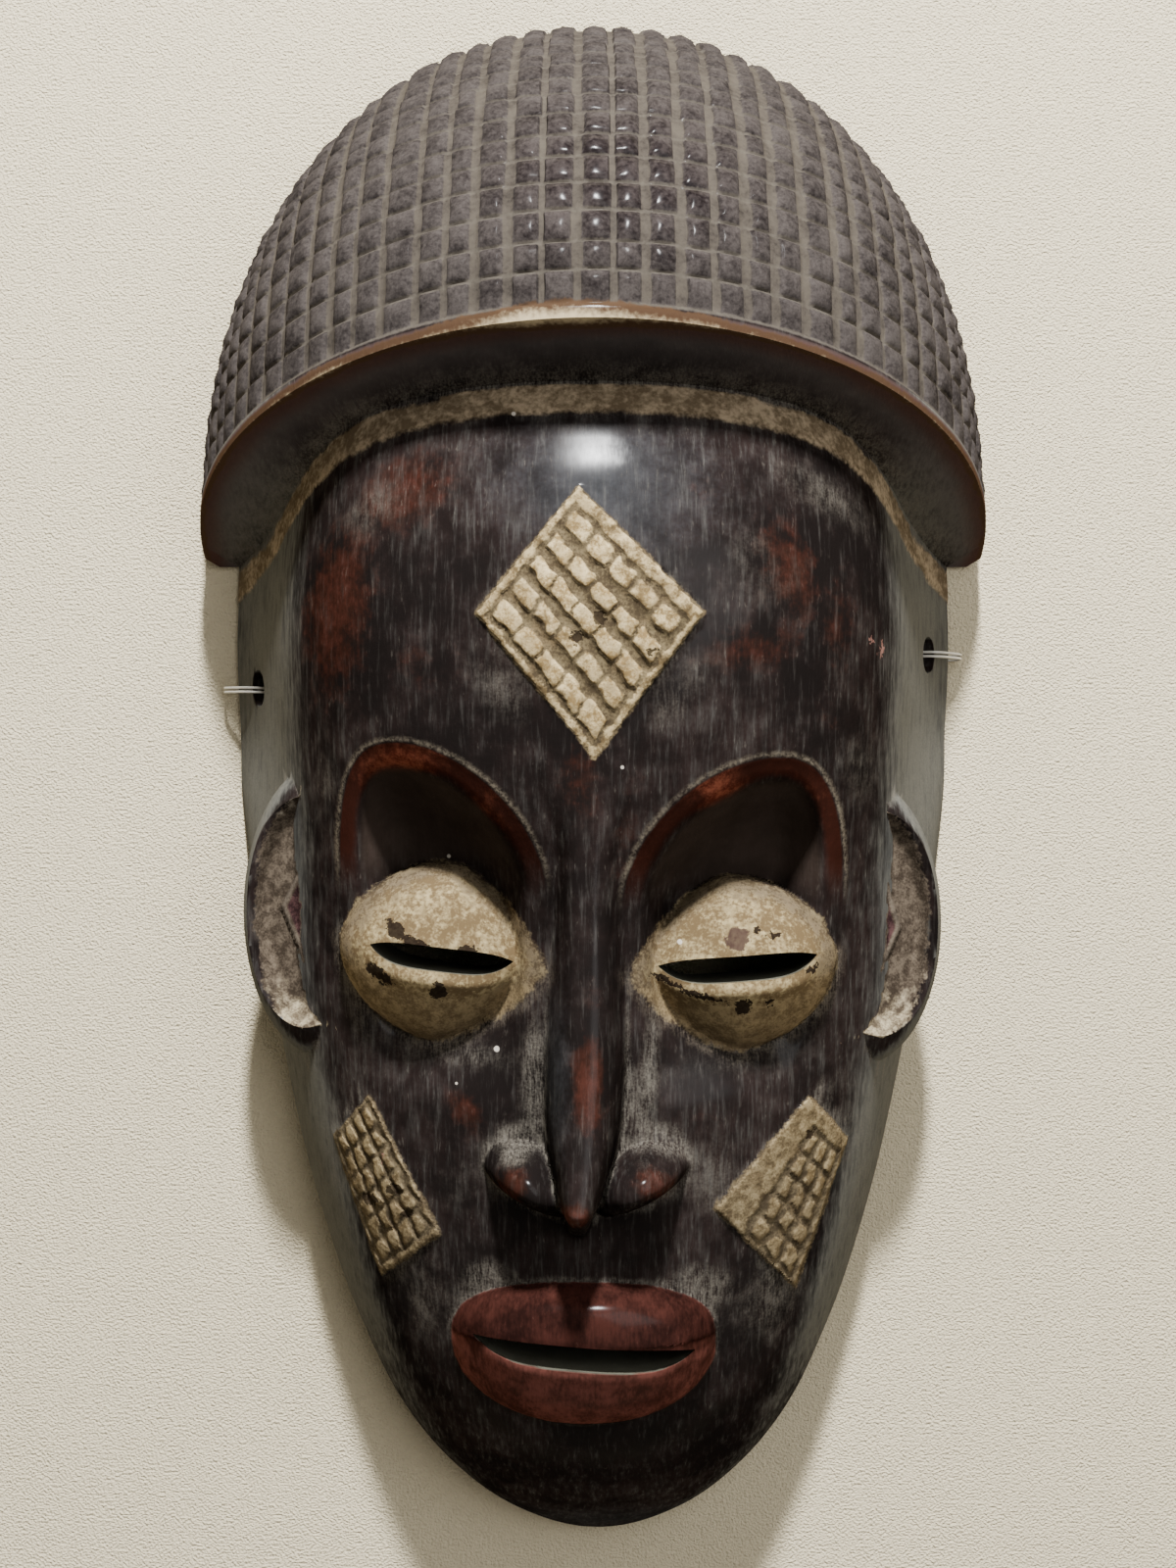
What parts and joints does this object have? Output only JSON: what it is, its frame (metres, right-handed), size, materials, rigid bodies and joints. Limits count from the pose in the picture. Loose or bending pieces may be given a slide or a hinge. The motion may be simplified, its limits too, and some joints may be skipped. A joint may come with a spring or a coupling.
{
  "type": "carved wooden face mask",
  "caption": "Carved dark wooden face mask with a gridded hair cap, slit eyes, lozenge scars and a hollow back, lying on its rim with a thin hanging line.",
  "frame": {"origin": "on the floor under the middle of the mask, which lies on its back rim", "axes": "+Z out of the face, +Y to the top of the head, +X to the right as one looks at the face"},
  "size_m": [0.1892, 0.3649, 0.0999],
  "materials": {
    "stained_wood": "dark stain worn red-brown, waxed, with pale kaolin paint and dust in the recesses",
    "line": "pale smooth nylon line"
  },
  "bodies": {
    "root": {"mask": "stained_wood", "hanging_line": "line", "line_knot_left": "line", "line_knot_right": "line"}
  },
  "joints": []
}
